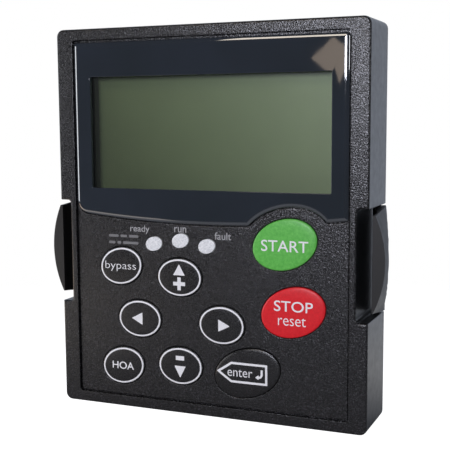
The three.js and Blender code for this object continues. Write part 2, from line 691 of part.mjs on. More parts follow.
addPiece('socket_shell', makeSocketShell(), metal(STEEL_COLOR, 0.3));
addPiece('socket_contacts', makeContactBlock(), plastic(CHIP_COLOR, 0.6));
for (const [name, side] of [
  ['jack_screw_left', -1],
  ['jack_screw_right', 1],
]) {
  const head = BOSS.back + GAP;
  const hexagon = jackRod(side, JACK.hexagon, head, TOTAL_DEPTH, 6);
  const screw = joined(hexagon, jackRod(side, JACK.shank, SOCKET.flangeFront - 2, head + 0.1));
  const bored = cut(screw, jackRod(side, JACK.bore, TOTAL_DEPTH - 1, TOTAL_DEPTH + 1, 10));
  addPiece(name, geometryOf(bored), metal(STEEL_COLOR, 0.3));
}

// Squeeze latches: a bowed arm with its grip at the front and a pivot pin at each end of its root.
function makeLatch(side) {
  const pivotX = halfWidth - PIVOT.inboard;
  const outerX = halfWidth + ARM.bulge;
  const innerX = halfWidth + ARM.innerFace;
  const [low, high] = [NOTCH.low + ARM_END_CLEARANCE, NOTCH.high - ARM_END_CLEARANCE];
  const plan = polygon([
    [innerX, ARM.front],
    [outerX, ARM.front],
    [outerX, ARM.straightEnd],
    [halfWidth + 0.1, ARM.back],
    [pivotX - PIVOT.rootHalf, ARM.back],
    [pivotX - PIVOT.rootHalf, PIVOT.depth - PIVOT.rootHalf],
    [innerX, ARM.straightEnd + 1],
  ]);
  const bow = new THREE.Shape();
  const reach = Math.acos(1 - (ARM.bulge - ARM.tip) / ARM.bowRadius);
  bow.moveTo(0, low);
  bow.lineTo(halfWidth + ARM.tip, low);
  bow.absarc(outerX - ARM.bowRadius, ARM.bowMiddle, ARM.bowRadius, -reach, reach, false);
  bow.lineTo(halfWidth + ARM.tip, high);
  bow.lineTo(0, high);
  bow.closePath();
  const flare = polygon([
    [ARM.front - 1, ARM.frontLow],
    [ARM.back + 1, low],
    [ARM.back + 1, high],
    [ARM.front - 1, ARM.frontHigh],
  ]);
  let arm = solidOf(prismZ(plan, low, high));
  arm = arm.intersect(solidOf(prismY(bow, 0, SKIRT_DEPTH, 10)));
  arm = arm.intersect(solidOf(prismX(flare, 0, FACE_WIDTH)));
  arm = arm.add(solidOf(pinRod(1, PIVOT.pinRadius, high - low + 2 * PIVOT.pinLength)));
  return geometryOf(side > 0 ? arm : arm.mirror([1, 0, 0]));
}

addPiece('latch_right', makeLatch(1), plastic(HOUSING_COLOR, 0.6));
addPiece('latch_left', makeLatch(-1), plastic(HOUSING_COLOR, 0.6));

export default keypad;
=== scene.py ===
import math

import bmesh
import bpy
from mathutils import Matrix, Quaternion, Vector, geometry


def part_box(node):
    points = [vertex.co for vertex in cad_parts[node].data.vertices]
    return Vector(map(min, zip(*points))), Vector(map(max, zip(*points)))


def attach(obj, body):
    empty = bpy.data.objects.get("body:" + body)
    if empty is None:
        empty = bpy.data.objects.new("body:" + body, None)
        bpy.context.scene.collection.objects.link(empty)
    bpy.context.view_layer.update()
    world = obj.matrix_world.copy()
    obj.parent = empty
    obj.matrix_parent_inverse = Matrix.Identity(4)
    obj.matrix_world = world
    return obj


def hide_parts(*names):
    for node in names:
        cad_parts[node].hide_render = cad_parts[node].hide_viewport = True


# The looks of a variable frequency drive's plug-in keypad: moulded shells, keys, lamps, display, latches
# and the rear socket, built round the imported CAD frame.
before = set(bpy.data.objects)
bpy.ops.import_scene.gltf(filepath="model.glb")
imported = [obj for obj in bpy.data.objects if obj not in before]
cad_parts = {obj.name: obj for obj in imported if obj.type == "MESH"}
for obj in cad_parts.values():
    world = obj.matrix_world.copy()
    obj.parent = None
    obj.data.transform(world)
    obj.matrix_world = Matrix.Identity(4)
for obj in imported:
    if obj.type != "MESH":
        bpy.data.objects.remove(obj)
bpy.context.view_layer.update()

# ---- Places: millimetres across (x), behind the front plane (depth) and above the foot (z) ----
MM = 0.001
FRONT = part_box("front_housing")[0].y


def place(x, depth, z):
    return Vector((x * MM, FRONT + depth * MM, z * MM))


class Span:
    """A CAD node's box in millimetres."""

    def __init__(self, node):
        low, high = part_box(node)
        self.left, self.right = low.x / MM, high.x / MM
        self.front, self.back = (low.y - FRONT) / MM, (high.y - FRONT) / MM
        self.low, self.high = low.z / MM, high.z / MM
        self.x = (self.left + self.right) / 2
        self.z = (self.low + self.high) / 2


HOUSING = Span("front_housing")
OVERLAY = Span("keypad_overlay")
BEZEL = Span("display_bezel")
PANE = Span("display_window")

GAP = 0.3
WALL = 2.2
HOUSING_CORNER = 2.3
FRONT_EDGE = 0.7
REAR_EDGE = 0.35
BORDER_SIDE, BORDER_END, BORDER_CORNER = 5.8, 3.6, 1.0
PANEL_FRONT, PANEL_BACK = 1.6, 3.6
NOTCH_LOW, NOTCH_HIGH, NOTCH_DEPTH, NOTCH_CORNER, NOTCH_LIP = 34.4, 68.4, 3.7, 1.2, 0.3
PIN_INBOARD, PIN_DEPTH, PIN_RADIUS, PIN_LENGTH, PIN_HOLE_LENGTH = 1.9, 18.6, 0.95, 1.8, 2.0
PIN_STEPS = 24

ARM_FRONT, ARM_BACK, ARM_STRAIGHT = 2.0, 20.6, 7.0
ARM_DEPTHS = (ARM_FRONT, 4.5, ARM_STRAIGHT, 9, 11, 13, 15, 17, 19, ARM_BACK)
ARM_INNER, ARM_BULGE, ARM_TIP, ARM_ROOT_BULGE = 0.6, 4.45, 0.9, 0.1
ARM_BOW_RADIUS, ARM_BOW_MIDDLE = 34.0, 52.3
ARM_FRONT_LOW, ARM_FRONT_HIGH = 37.3, 66.3
ARM_LOW, ARM_HIGH = NOTCH_LOW + 0.4, NOTCH_HIGH - 0.4
ARM_STEPS, ARM_EDGE = 30, 0.55
ROOT_HALF = 1.3

LENS_RADIUS = 370.0
LENS_LEFT_CORNER, LENS_RIGHT_CORNER, LENS_TOP_CORNER, LENS_FILLET = 4.5, 0.7, 1.2, 1.0
LENS_LOW_POINT = 61.8
LENS_ROLL, LENS_DROP, LENS_ROLL_STEPS = 1.5, 0.65, 8
SCOOP_HALVES, SCOOP_STEPS = (15.4, 11.15), 40
APERTURE_X, APERTURE_Z, APERTURE_WIDTH, APERTURE_HEIGHT, APERTURE_CORNER = 0.3, 90.6, 81.2, 35.8, 0.35
PANE_CORNER, OVERLAY_CORNER = 0.4, 0.8

LARGE_KEY, ENTER_KEY, RING_KEY = (10.6, 7.7), (11.3, 7.7), (7.9, 6.3)
LARGE_TILT, SLANTED_TILT = 18.5, 13.0
KEY_CLEARANCE = 0.15
KEY_TOP, KEY_CROWN, KEY_EDGE = 0.3, 0.3, 0.3
KEY_CROWN_POWER, KEY_SHOULDER = 6, 0.6
KEY_FLANGE, KEY_FLANGE_FRONT, KEY_END = 0.9, 3.9, 4.6
RING_OUTSIDE, RING_INSIDE = 0.39, 0.92
LAMP_HALVES, LAMP_TILT, LAMP_RISE = (3.0, 2.3), 15.0, 0.12
OVAL_STEPS, LAMP_STEPS = 96, 48
LEAST_CORNER, LEAST_RADIUS = 0.04, 0.05
HALVINGS = 40


# ---- Outlines: closed lists of (x, z), counter-clockwise seen from the front ----
def arc(x, z, radius, start, end, steps):
    """Points on an arc between two angles in degrees, both ends included."""
    angles = [math.radians(start + (end - start) * i / steps) for i in range(steps + 1)]
    return [(x + radius * math.cos(a), z + radius * math.sin(a)) for a in angles]


def rounded(corners, inset=0.0, steps=5):
    """An outline with rounded corners (x, z, radius), moved inwards by inset as a parallel curve."""
    points = []
    for i, (x, z, radius) in enumerate(corners):
        corner = Vector((x, z))
        before = (Vector(corners[i - 1][:2]) - corner).normalized()
        after = (Vector(corners[(i + 1) % len(corners)][:2]) - corner).normalized()
        outward = before.x * after.y - before.y * after.x < 0
        half = before.angle(after) / 2
        bisector = (before + after).normalized()
        sign = 1 if outward else -1
        size = max(radius - sign * inset, LEAST_CORNER)
        centre = corner + bisector * (sign * inset + size) / math.sin(half)
        first = corner + bisector * sign * inset / math.sin(half) + before * size / math.tan(half) - centre
        start = math.degrees(math.atan2(first.y, first.x))
        sweep = sign * (180 - math.degrees(2 * half))
        points += arc(centre.x, centre.y, size, start, start + sweep, steps)
    return points


def rectangle(x, z, width, height, radius):
    """Corners for rounded()."""
    w, h = width / 2, height / 2
    return [(x - w, z - h, radius), (x + w, z - h, radius), (x + w, z + h, radius), (x - w, z + h, radius)]


def circle(x, z, radius, steps):
    return arc(x, z, radius, 0, 360, steps)[:-1]


def cuts(first, second, step):
    """How many equal parts of about one step an edge is cut into."""
    return max(1, round(math.dist(first, second) / step))


def divided(first, second, count):
    """The points that cut an edge into equal parts, from its first end to before its second."""
    return [tuple(a + (b - a) * i / count for a, b in zip(first, second)) for i in range(count)]


def dense(points, step=0.6):
    """The same outline with its long edges cut up, so that it can follow a curved face."""
    made = []
    for first, second in zip(points, points[1:] + points[:1]):
        made += divided(first, second, cuts(first, second, step))
    return made


def shrunk(points, x, z, share):
    """The outline drawn in towards (x, z), to a share of its size."""
    return [(x + (u - x) * share, z + (v - z) * share) for u, v in points]


class Oval:
    """An oval with its half-axes and its tilt in degrees, centred on a CAD node."""

    def __init__(self, node, halves, tilt):
        span = Span(node)
        self.x, self.z, self.a, self.b = span.x, span.z, *halves
        self.tilt = math.radians(tilt)

    def point(self, angle, grow=0.0):
        """The point at an angle on the curve that runs parallel to the oval, grow outside it."""
        u, v = self.a * math.cos(angle), self.b * math.sin(angle)
        nu, nv = self.b * math.cos(angle), self.a * math.sin(angle)
        length = math.hypot(nu, nv)
        return self.turned(u + grow * nu / length, v + grow * nv / length)

    def turned(self, u, v):
        """A point in the oval's own axes, as (x, z)."""
        cos, sin = math.cos(self.tilt), math.sin(self.tilt)
        return self.x + u * cos - v * sin, self.z + u * sin + v * cos

    def outline(self, grow=0.0, steps=OVAL_STEPS):
        return [self.point(2 * math.pi * i / steps, grow) for i in range(steps)]

    def share(self, x, z):
        """How far out a point is: 0 at the centre, 1 on the oval."""
        cos, sin = math.cos(self.tilt), math.sin(self.tilt)
        u = (x - self.x) * cos + (z - self.z) * sin
        v = (z - self.z) * cos - (x - self.x) * sin
        return math.hypot(u / self.a, v / self.b)


KEYS = {
    "start": Oval("key_start", LARGE_KEY, LARGE_TILT),
    "stop": Oval("key_stop", LARGE_KEY, LARGE_TILT),
    "enter": Oval("key_enter", ENTER_KEY, LARGE_TILT),
    "bypass": Oval("key_bypass", RING_KEY, SLANTED_TILT),
    "hoa": Oval("key_hoa", RING_KEY, SLANTED_TILT),
    "up": Oval("key_up", RING_KEY, 0),
    "down": Oval("key_down", RING_KEY, 0),
    "left": Oval("key_left", RING_KEY, 0),
    "right": Oval("key_right", RING_KEY, 0),
}
LAMPS = {name: Oval(f"lamp_window_{name}", LAMP_HALVES, LAMP_TILT) for name in ("ready", "run", "fault")}
SCOOP = Oval("key_start", SCOOP_HALVES, LARGE_TILT)


def skirt_corners():
    """The skirt's outline, with a notch for the latch at each side."""
    side, pocket = HOUSING.right, HOUSING.right - NOTCH_DEPTH
    right = [
        (side, HOUSING.low, HOUSING_CORNER),
        (side, NOTCH_LOW, NOTCH_LIP),
        (pocket, NOTCH_LOW, NOTCH_CORNER),
        (pocket, NOTCH_HIGH, NOTCH_CORNER),
        (side, NOTCH_HIGH, NOTCH_LIP),
        (side, HOUSING.high, HOUSING_CORNER),
    ]
    return right + [(-x, z, radius) for x, z, radius in reversed(right)]


def skirt(inset):
    """The skirt's outline, moved inwards by inset."""
    return rounded(skirt_corners(), inset)


def border(inset):
    """The inner edge of the border; a positive inset widens the opening."""
    width = HOUSING.right - HOUSING.left - 2 * BORDER_SIDE
    height = HOUSING.high - HOUSING.low - 2 * BORDER_END
    return rounded(rectangle(HOUSING.x, HOUSING.z, width, height, BORDER_CORNER), -inset)


def lens_corner(side, size, inset):
    """Centre and radius of a lower corner of the lens, between its side and its bowed lower edge."""
    radius = max(size, inset + LEAST_RADIUS)
    x = BEZEL.right - radius
    arm = LENS_RADIUS - radius
    return side * x, LENS_LOW_POINT + LENS_RADIUS - math.sqrt(arm * arm - x * x), radius - inset


def scoop_crossing(low, high, fillet):
    """The oval's angle, between two, where a fillet touches both the scoop and the bowed edge."""
    middle_z = LENS_LOW_POINT + LENS_RADIUS

    def outside(angle):
        x, z = SCOOP.point(angle, fillet)
        return math.hypot(x, z - middle_z) > LENS_RADIUS - fillet

    for _ in range(HALVINGS):
        middle = (low + high) / 2
        if outside(middle) == outside(low):
            low = middle
        else:
            high = middle
    return low


def lens_low_edge(inset, reach):
    """The lens's lower edge from left to right, with the scoop over the start key, out to x = +-reach."""
    middle_z = LENS_LOW_POINT + LENS_RADIUS
    fillet = max(LENS_FILLET, inset + LEAST_RADIUS)
    left = scoop_crossing(math.pi / 2, math.pi, fillet)
    right = scoop_crossing(math.pi / 2, 0, fillet)
    bow = LENS_RADIUS - inset

    def bearing(x, z):
        return math.degrees(math.atan2(z - middle_z, x))

    def corner_start(x, radius):
        return math.degrees(math.acos(min(1, (reach - abs(x)) / radius)))

    left_x, left_z, left_radius = lens_corner(-1, LENS_LEFT_CORNER, inset)
    right_x, right_z, right_radius = lens_corner(1, LENS_RIGHT_CORNER, inset)
    left_centre, right_centre = SCOOP.point(left, fillet), SCOOP.point(right, fillet)
    left_end, right_end = bearing(left_x, left_z), bearing(right_x, right_z)
    points = arc(left_x, left_z, left_radius, corner_start(left_x, left_radius) - 180, left_end, 10)
    points += arc(0, middle_z, bow, left_end, bearing(*left_centre), 14)[1:-1]
    points += fillet_points(left_centre, fillet - inset, bearing(*left_centre), left)
    for i in range(1, SCOOP_STEPS):
        points.append(SCOOP.point(left + (right - left) * i / SCOOP_STEPS, inset))
    points += fillet_points(right_centre, fillet - inset, bearing(*right_centre), right)[::-1]
    points += arc(0, middle_z, bow, bearing(*right_centre), right_end, 4)[1:-1]
    points += arc(right_x, right_z, right_radius, right_end, -corner_start(right_x, right_radius), 6)
    return points


def fillet_points(centre, radius, bearing, angle):
    """The fillet between the bowed edge and the scoop, from the bowed edge on."""
    touch = SCOOP.point(angle)
    towards = math.degrees(math.atan2(touch[1] - centre[1], touch[0] - centre[0]))
    sweep = (towards - bearing + 180) % 360 - 180
    return arc(*centre, radius, bearing, bearing + sweep, 6)


def lens(inset):
    """The lens's outline."""
    side, top = BEZEL.right - inset, BEZEL.high - inset
    radius = max(LENS_TOP_CORNER - inset, LEAST_RADIUS)
    points = lens_low_edge(inset, side)
    points += arc(side - radius, top - radius, radius, 0, 90, 5)
    points += arc(radius - side, top - radius, radius, 90, 180, 5)
    return points


def overlay_rim(inset):
    """The overlay's outline: square below, and cut to the lens's lower edge above."""
    side, low = OVERLAY.right - inset, OVERLAY.low + inset
    radius = max(OVERLAY_CORNER - inset, LEAST_RADIUS)
    points = arc(radius - side, low + radius, radius, 180, 270, 4)
    points += arc(side - radius, low + radius, radius, 270, 360, 4)
    return points + lens_low_edge(-GAP - inset, side)[::-1]


def aperture(inset):
    """The display's window; a positive inset widens it."""
    hole = rectangle(APERTURE_X, APERTURE_Z, APERTURE_WIDTH, APERTURE_HEIGHT, APERTURE_CORNER)
    return rounded(hole, -inset)


def pane_seat(inset):
    """The hole that the clear pane sits in; a positive inset widens it."""
    width, height = PANE.right - PANE.left, PANE.high - PANE.low
    return rounded(rectangle(PANE.x, PANE.z, width + 2 * GAP, height + 2 * GAP, PANE_CORNER), -inset)


def clear_of(oval, gap, steps=OVAL_STEPS):
    """The outline of a hole that leaves a gap round an oval, as a function of the inset."""
    return lambda inset: oval.outline(gap + inset, steps)


# ---- Mesh building ----
SHARP_ANGLE, EDGE_ANGLE, FLAT_ANGLE = 32.0, 35.0, 2.0


class Shape:
    """A closed mesh made of rings of vertices, walls between rings and flat caps."""

    def __init__(self):
        self.bm = bmesh.new()

    def ring(self, outline, depth):
        """Vertices round an outline at one depth, or at the depth that a function gives for (x, z)."""
        return [self.bm.verts.new(place(x, depth(x, z) if callable(depth) else depth, z)) for x, z in outline]

    def wall(self, first, second, material=0):
        """Faces between two rings with the same number of vertices."""
        faces = []
        for i in range(len(first)):
            face = self.bm.faces.new((first[i - 1], first[i], second[i], second[i - 1]))
            face.material_index = material
            faces.append(face)
        return faces

    def cap(self, rings, material=0):
        """Fills the first ring, leaving open the holes that the other rings bound."""
        loops = [[vertex.co / MM for vertex in ring] for ring in rings]
        vertices = [vertex for ring in rings for vertex in ring]
        for corners in geometry.tessellate_polygon(loops):
            face = self.bm.faces.new([vertices[i] for i in corners])
            face.material_index = material

    def fan(self, ring, x, depth, z):
        """Faces from a ring to a point."""
        centre = self.bm.verts.new(place(x, depth, z))
        for i in range(len(ring)):
            self.bm.faces.new((ring[i - 1], ring[i], centre))

    def column(self, outline, profile, material=0):
        """Rings down an edge. The profile is a list of (inset, depth), and outline takes the inset."""
        rings = [self.ring(outline(inset), depth) for inset, depth in profile]
        for first, second in zip(rings, rings[1:]):
            self.wall(first, second, material)
        return rings

    def plate(self, edges):
        """A closed plate. Its edges are (outline, profile) pairs: the rim, then the holes through it."""
        columns = [self.column(outline, profile) for outline, profile in edges]
        self.cap([rings[0] for rings in columns])
        self.cap([rings[-1] for rings in columns])

    def mark(self, outlines, depth, material, proud=0.045, sunk=0.08):
        """A printed mark as a thin solid on a face: an outline, less the outlines inside it."""
        tops = [self.ring(dense(o), lambda x, z: depth(x, z) - proud) for o in outlines]
        feet = [self.ring(dense(o), lambda x, z: depth(x, z) + sunk) for o in outlines]
        for top, foot in zip(tops, feet):
            self.wall(top, foot, material)
        self.cap(tops, material)
        self.cap(feet, material)

    def band(self, outline, stroke, depth, material, proud=0.03, sunk=0.06):
        """A printed line of one width just inside an outline, which follows the face closely."""
        outside, inside = rounded(outline, 0, 2), rounded(outline, stroke, 2)
        loops = ([], [])
        for i in range(len(outside)):
            count = cuts(outside[i - 1], outside[i], 0.5)
            for loop, line in zip(loops, (outside, inside)):
                loop += divided(line[i - 1], line[i], count)
        corners = ((0, sunk), (0, -proud), (1, -proud), (1, sunk))
        rings = [self.ring(loops[k], lambda x, z, lift=lift: depth(x, z) + lift) for k, lift in corners]
        for i in range(4):
            self.wall(rings[i - 1], rings[i], material)

    def letters(self, text, x, z, width, height, depth, material, bold=0.0, proud=0.02, sunk=0.06):
        """Printed letters as a thin solid on a face, fitted to a width and a height about their centre."""
        flat = letter_mesh(text, bold)
        us, vs = [v.co.x for v in flat.vertices], [v.co.y for v in flat.vertices]
        middle_u, middle_v = (min(us) + max(us)) / 2, (min(vs) + max(vs)) / 2
        across, up = width / (max(us) - min(us)), height / (max(vs) - min(vs))
        made = []
        for vertex in flat.vertices:
            px = x + (vertex.co.x - middle_u) * across
            pz = z + (vertex.co.y - middle_v) * up
            level = depth(px, pz) + (-proud if vertex.co.z > 0 else sunk)
            made.append(self.bm.verts.new(place(px, level, pz)))
        for polygon in flat.polygons:
            face = self.bm.faces.new([made[i] for i in polygon.vertices])
            face.material_index = material
        bmesh.ops.remove_doubles(self.bm, verts=made, dist=1e-7)
        bpy.data.meshes.remove(flat)

    def piece(self, name, materials, body, slot, *replaced):
        """Finishes the mesh as a piece that rides on a body and stands for CAD nodes."""
        bmesh.ops.recalc_face_normals(self.bm, faces=self.bm.faces)
        mesh = bpy.data.meshes.new(name)
        self.bm.to_mesh(mesh)
        self.bm.free()
        mesh.shade_smooth()
        mesh.set_sharp_from_angle(angle=math.radians(SHARP_ANGLE))
        for item in materials:
            mesh.materials.append(item)
        made = bpy.data.objects.new(name, mesh)
        bpy.context.scene.collection.objects.link(made)
        made.modifiers.new("weighted_normals", "WEIGHTED_NORMAL").keep_sharp = True
        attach(made, body)
        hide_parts(*replaced)
        return made


def letter_mesh(text, bold):
    """Letters as a solid one unit thick, in the plane of the page."""
    curve = bpy.data.curves.new("letters", "FONT")
    curve.body = text
    curve.offset = bold
    curve.extrude = 0.5
    curve.resolution_u = 5
    item = bpy.data.objects.new("letters", curve)
    mesh = bpy.data.meshes.new_from_object(item)
    bpy.data.objects.remove(item)
    bpy.data.curves.remove(curve)
    return mesh


def rolled(reach, front, drop, steps):
    """(inset, depth) pairs from a face out to its edge, round a quarter of an ellipse."""
    quarter = [math.pi / 2 * i / steps for i in range(steps + 1)]
    return [(reach * (1 - math.sin(a)), front + drop * (1 - math.cos(a))) for a in quarter]


def rounding(front, back, front_radius, back_radius, steps):
    """(inset, depth) pairs down an edge whose front and back arrises are rounded."""
    rear = rolled(back_radius, back, -back_radius, steps)
    return rolled(front_radius, front, front_radius, steps) + rear[::-1]


# ---- Materials ----
class Nodes:
    """A material's node tree, built with short calls."""

    def __init__(self, name):
        self.material = bpy.data.materials.new(name)
        self.material.use_nodes = True
        self.tree = self.material.node_tree
        self.shader = self.tree.nodes["Principled BSDF"]
        self.output = self.tree.nodes["Material Output"]
        self.place = self.node("ShaderNodeTexCoord").outputs["Object"]

    def node(self, kind, inputs=(), **settings):
        """A new node; its inputs are values or the sockets that feed them."""
        made = self.tree.nodes.new(kind)
        for key, value in settings.items():
            setattr(made, key, value)
        for key, value in dict(inputs).items():
            if isinstance(value, bpy.types.NodeSocket):
                self.tree.links.new(value, made.inputs[key])
            else:
                made.inputs[key].default_value = value
        return made

    def noise(self, size, detail=2.0, roughness=0.5, stretch=None):
        """Noise whose lumps are about size millimetres across."""
        place_socket = self.place
        if stretch:
            mapping = self.node("ShaderNodeMapping", {"Vector": self.place, "Scale": stretch})
            place_socket = mapping.outputs["Vector"]
        inputs = {"Vector": place_socket, "Scale": 1 / (size * MM), "Detail": detail, "Roughness": roughness}
        return self.node("ShaderNodeTexNoise", inputs).outputs["Fac"]

    def ramp(self, factor, stops):
        """A colour ramp; the stops are (position, colour or grey)."""
        made = self.node("ShaderNodeValToRGB", {"Fac": factor})
        elements = made.color_ramp.elements
        while len(elements) < len(stops):
            elements.new(0.5)
        for element, (position, value) in zip(elements, stops):
            element.position = position
            element.color = (value, value, value, 1) if isinstance(value, float) else (*value, 1)
        return made.outputs["Color"]

    def mix(self, factor, first, second, blend="MIX"):
        """A mix of two colours."""
        made = self.node("ShaderNodeMix", data_type="RGBA", blend_type=blend)
        for key, value in ((0, factor), (6, first), (7, second)):
            if isinstance(value, bpy.types.NodeSocket):
                self.tree.links.new(value, made.inputs[key])
            else:
                made.inputs[key].default_value = value if key == 0 else (*value, 1)
        return made.outputs[2]

    def bump(self, height, relief, below=None):
        """A bump map whose full height is relief millimetres."""
        inputs = {"Height": height, "Distance": relief * MM, "Strength": 1.0}
        if below is not None:
            inputs["Normal"] = below
        return self.node("ShaderNodeBump", inputs).outputs["Normal"]

    def set(self, **inputs):
        """Links or sets the shader's inputs, and gives back the material."""
        names = {"color": "Base Color", "specular": "Specular IOR Level", "ior": "IOR"}
        for key, value in inputs.items():
            socket = self.shader.inputs[names.get(key, key.replace("_", " ").title())]
            if isinstance(value, bpy.types.NodeSocket):
                self.tree.links.new(value, socket)
            elif isinstance(value, tuple):
                socket.default_value = (*value, 1)
            else:
                socket.default_value = value
        return self.material

    def blend(self, factor, first, second):
        """Sends a mix of two shaders to the surface."""
        inputs = {0: factor, 1: first.outputs["BSDF"], 2: second.outputs["BSDF"]}
        both = self.node("ShaderNodeMixShader", inputs)
        self.tree.links.new(both.outputs["Shader"], self.output.inputs["Surface"])
        return self.material


def scaled(color, factor):
    """The colour made lighter or darker."""
    return tuple(min(1.0, c * factor) for c in color)


def textured_plastic(name, color, grain, relief, roughness, glint_paint_gain):
    """Black plastic from a spark-eroded mould: small pits, and grains that catch the light through a lower
    roughness, which are also painted many times lighter than the plastic as painted glints.
    """
    nodes = Nodes(name)
    pits = nodes.noise(grain, 2, 0.5)
    flecks = nodes.noise(grain * 1.1, 1, 0.4)
    tone = nodes.ramp(nodes.noise(14, 3), [(0.3, scaled(color, 0.85)), (0.7, scaled(color, 1.15))])
    # Painted glints: the grains get a colour many times lighter than the black plastic, standing in for the
    # sparkle of light on them.
    painted_glint_mask = nodes.ramp(flecks, [(0.56, 0.0), (0.7, 1.0)])
    paint = nodes.mix(painted_glint_mask, tone, scaled(color, glint_paint_gain))
    shine = nodes.ramp(flecks, [(0.4, roughness + 0.04), (0.62, roughness - 0.2)])
    return nodes.set(color=paint, roughness=shine, normal=nodes.bump(pits, relief), specular=0.55)


def smooth_plastic(name, color, roughness, grain=0.5, relief=0.006, variation=0.12, specular=0.5):
    """Satin moulded plastic with a little flow variation in colour and gloss."""
    nodes = Nodes(name)
    broad = nodes.noise(9, 3, 0.55)
    tone = nodes.ramp(broad, [(0.25, scaled(color, 1 - variation)), (0.75, scaled(color, 1 + variation))])
    shine = nodes.ramp(nodes.noise(2.5, 4, 0.6), [(0.3, roughness - 0.04), (0.7, roughness + 0.05)])
    normal = nodes.bump(nodes.noise(grain, 2, 0.5), relief)
    return nodes.set(color=tone, roughness=shine, normal=normal, specular=specular)


def printed_ink(name, color):
    """Screen-printed ink: slightly uneven in cover, matt."""
    nodes = Nodes(name)
    cover = nodes.noise(0.22, 2, 0.5)
    tone = nodes.ramp(cover, [(0.3, scaled(color, 0.82)), (0.62, color)])
    normal = nodes.bump(cover, 0.006)
    shine = nodes.ramp(cover, [(0.3, 0.62), (0.7, 0.48)])
    return nodes.set(color=tone, roughness=shine, normal=normal)


def key_plastic(name, dark, light):
    """Coloured key plastic, mottled under its fine texture."""
    nodes = Nodes(name)
    tone = nodes.ramp(nodes.noise(1.1, 5, 0.8), [(0.34, dark), (0.66, light)])
    shine = nodes.ramp(nodes.noise(0.5, 2), [(0.3, 0.30), (0.7, 0.42)])
    normal = nodes.bump(nodes.noise(0.4, 2, 0.6), 0.014)
    return nodes.set(color=tone, roughness=shine, normal=normal, specular=0.4)


def lens_plastic(name, specular, ior):
    """The lens: polished, dark blue-black, with a faint ripple in its gloss."""
    nodes = Nodes(name)
    tone = nodes.ramp(nodes.noise(22, 2), [(0.3, (0.0205, 0.0255, 0.0315)), (0.7, (0.0240, 0.0295, 0.0385))])
    shine = nodes.ramp(nodes.noise(6, 3), [(0.3, 0.025), (0.7, 0.045)])
    normal = nodes.bump(nodes.noise(9, 1), 0.004)
    return nodes.set(color=tone, roughness=shine, normal=normal, specular=specular, ior=ior)


def display_face():
    """The blank liquid crystal cell: olive, with painted light making it paler towards its upper right corner
    and painted shade making it darker towards its lower left.
    """
    nodes = Nodes("display_cell_painted_shading")
    parts = nodes.node("ShaderNodeSeparateXYZ", {"Vector": nodes.place}).outputs
    # Painted light and shade: the colour runs by position from dark olive at the lower left to pale olive at
    # the upper right, as the light falls.
    across = nodes.node("ShaderNodeMath", {0: parts["X"], 1: parts["Z"]}, operation="ADD")
    low, high = 0.045, 0.145
    share = nodes.node("ShaderNodeMapRange", {"Value": across.outputs[0], "From Min": low, "From Max": high})
    tone = nodes.ramp(share.outputs["Result"], [(0.0, (0.068, 0.082, 0.040)), (1.0, (0.212, 0.249, 0.134))])
    cloud = nodes.ramp(nodes.noise(12, 3), [(0.3, 0.92), (0.7, 1.0)])
    tone = nodes.mix(1.0, tone, cloud, "MULTIPLY")
    shine = nodes.ramp(nodes.noise(3, 2), [(0.3, 0.4), (0.7, 0.5)])
    return nodes.set(color=tone, roughness=shine, specular=0.25)


def clear_pane():
    """The clear pane over the display, with an anti-glare face that blurs reflections."""
    nodes = Nodes("antiglare_pane")
    grain = nodes.bump(nodes.noise(0.3, 2), 0.004)
    haze = {"Roughness": 0.42, "Normal": grain, "Color": (0.9, 0.95, 0.9, 1)}
    gloss = nodes.node("ShaderNodeBsdfGlossy", haze)
    clear = nodes.node("ShaderNodeBsdfTransparent", {"Color": (0.93, 0.96, 0.92, 1)})
    share = nodes.node("ShaderNodeFresnel", {"IOR": 1.28, "Normal": grain})
    return nodes.blend(share.outputs["Fac"], clear, gloss)


def lamp_plastic():
    """A lamp's white diffuser, with the grain of its moulding."""
    nodes = Nodes("lamp_diffuser")
    grain = nodes.noise(0.45, 3, 0.6)
    tone = nodes.ramp(grain, [(0.3, (0.54, 0.56, 0.58)), (0.65, (0.86, 0.87, 0.88))])
    normal = nodes.bump(grain, 0.035)
    shine = nodes.ramp(grain, [(0.3, 0.5), (0.7, 0.38)])
    return nodes.set(color=tone, roughness=shine, normal=normal)


def plated_metal(name, color, roughness, brushed=None):
    """Plated or drawn metal, a little stained and scuffed."""
    nodes = Nodes(name)
    stain = nodes.noise(4, 4, 0.6)
    tone = nodes.ramp(stain, [(0.3, scaled(color, 0.8)), (0.7, color)])
    marks = nodes.noise(0.6, 3, 0.6, brushed)
    shine = nodes.ramp(marks, [(0.3, roughness - 0.07), (0.7, roughness + 0.12)])
    normal = nodes.bump(marks, 0.006)
    return nodes.set(color=tone, roughness=shine, normal=normal, metallic=1.0)


def circuit_board(name):
    """A green board with a suggestion of tracks under its solder resist."""
    nodes = Nodes(name)
    spacing = {"Vector": nodes.place, "Scale": 1 / (3.2 * MM)}
    cells = nodes.node("ShaderNodeTexVoronoi", spacing, distance="CHEBYCHEV")
    tracks = nodes.ramp(cells.outputs["Distance"], [(0.46, 0.0), (0.54, 1.0)])
    tone = nodes.mix(tracks, (0.012, 0.10, 0.035), (0.03, 0.17, 0.06))
    normal = nodes.bump(tracks, 0.03)
    shine = nodes.ramp(nodes.noise(5, 3), [(0.3, 0.28), (0.7, 0.4)])
    return nodes.set(color=tone, roughness=shine, normal=normal)


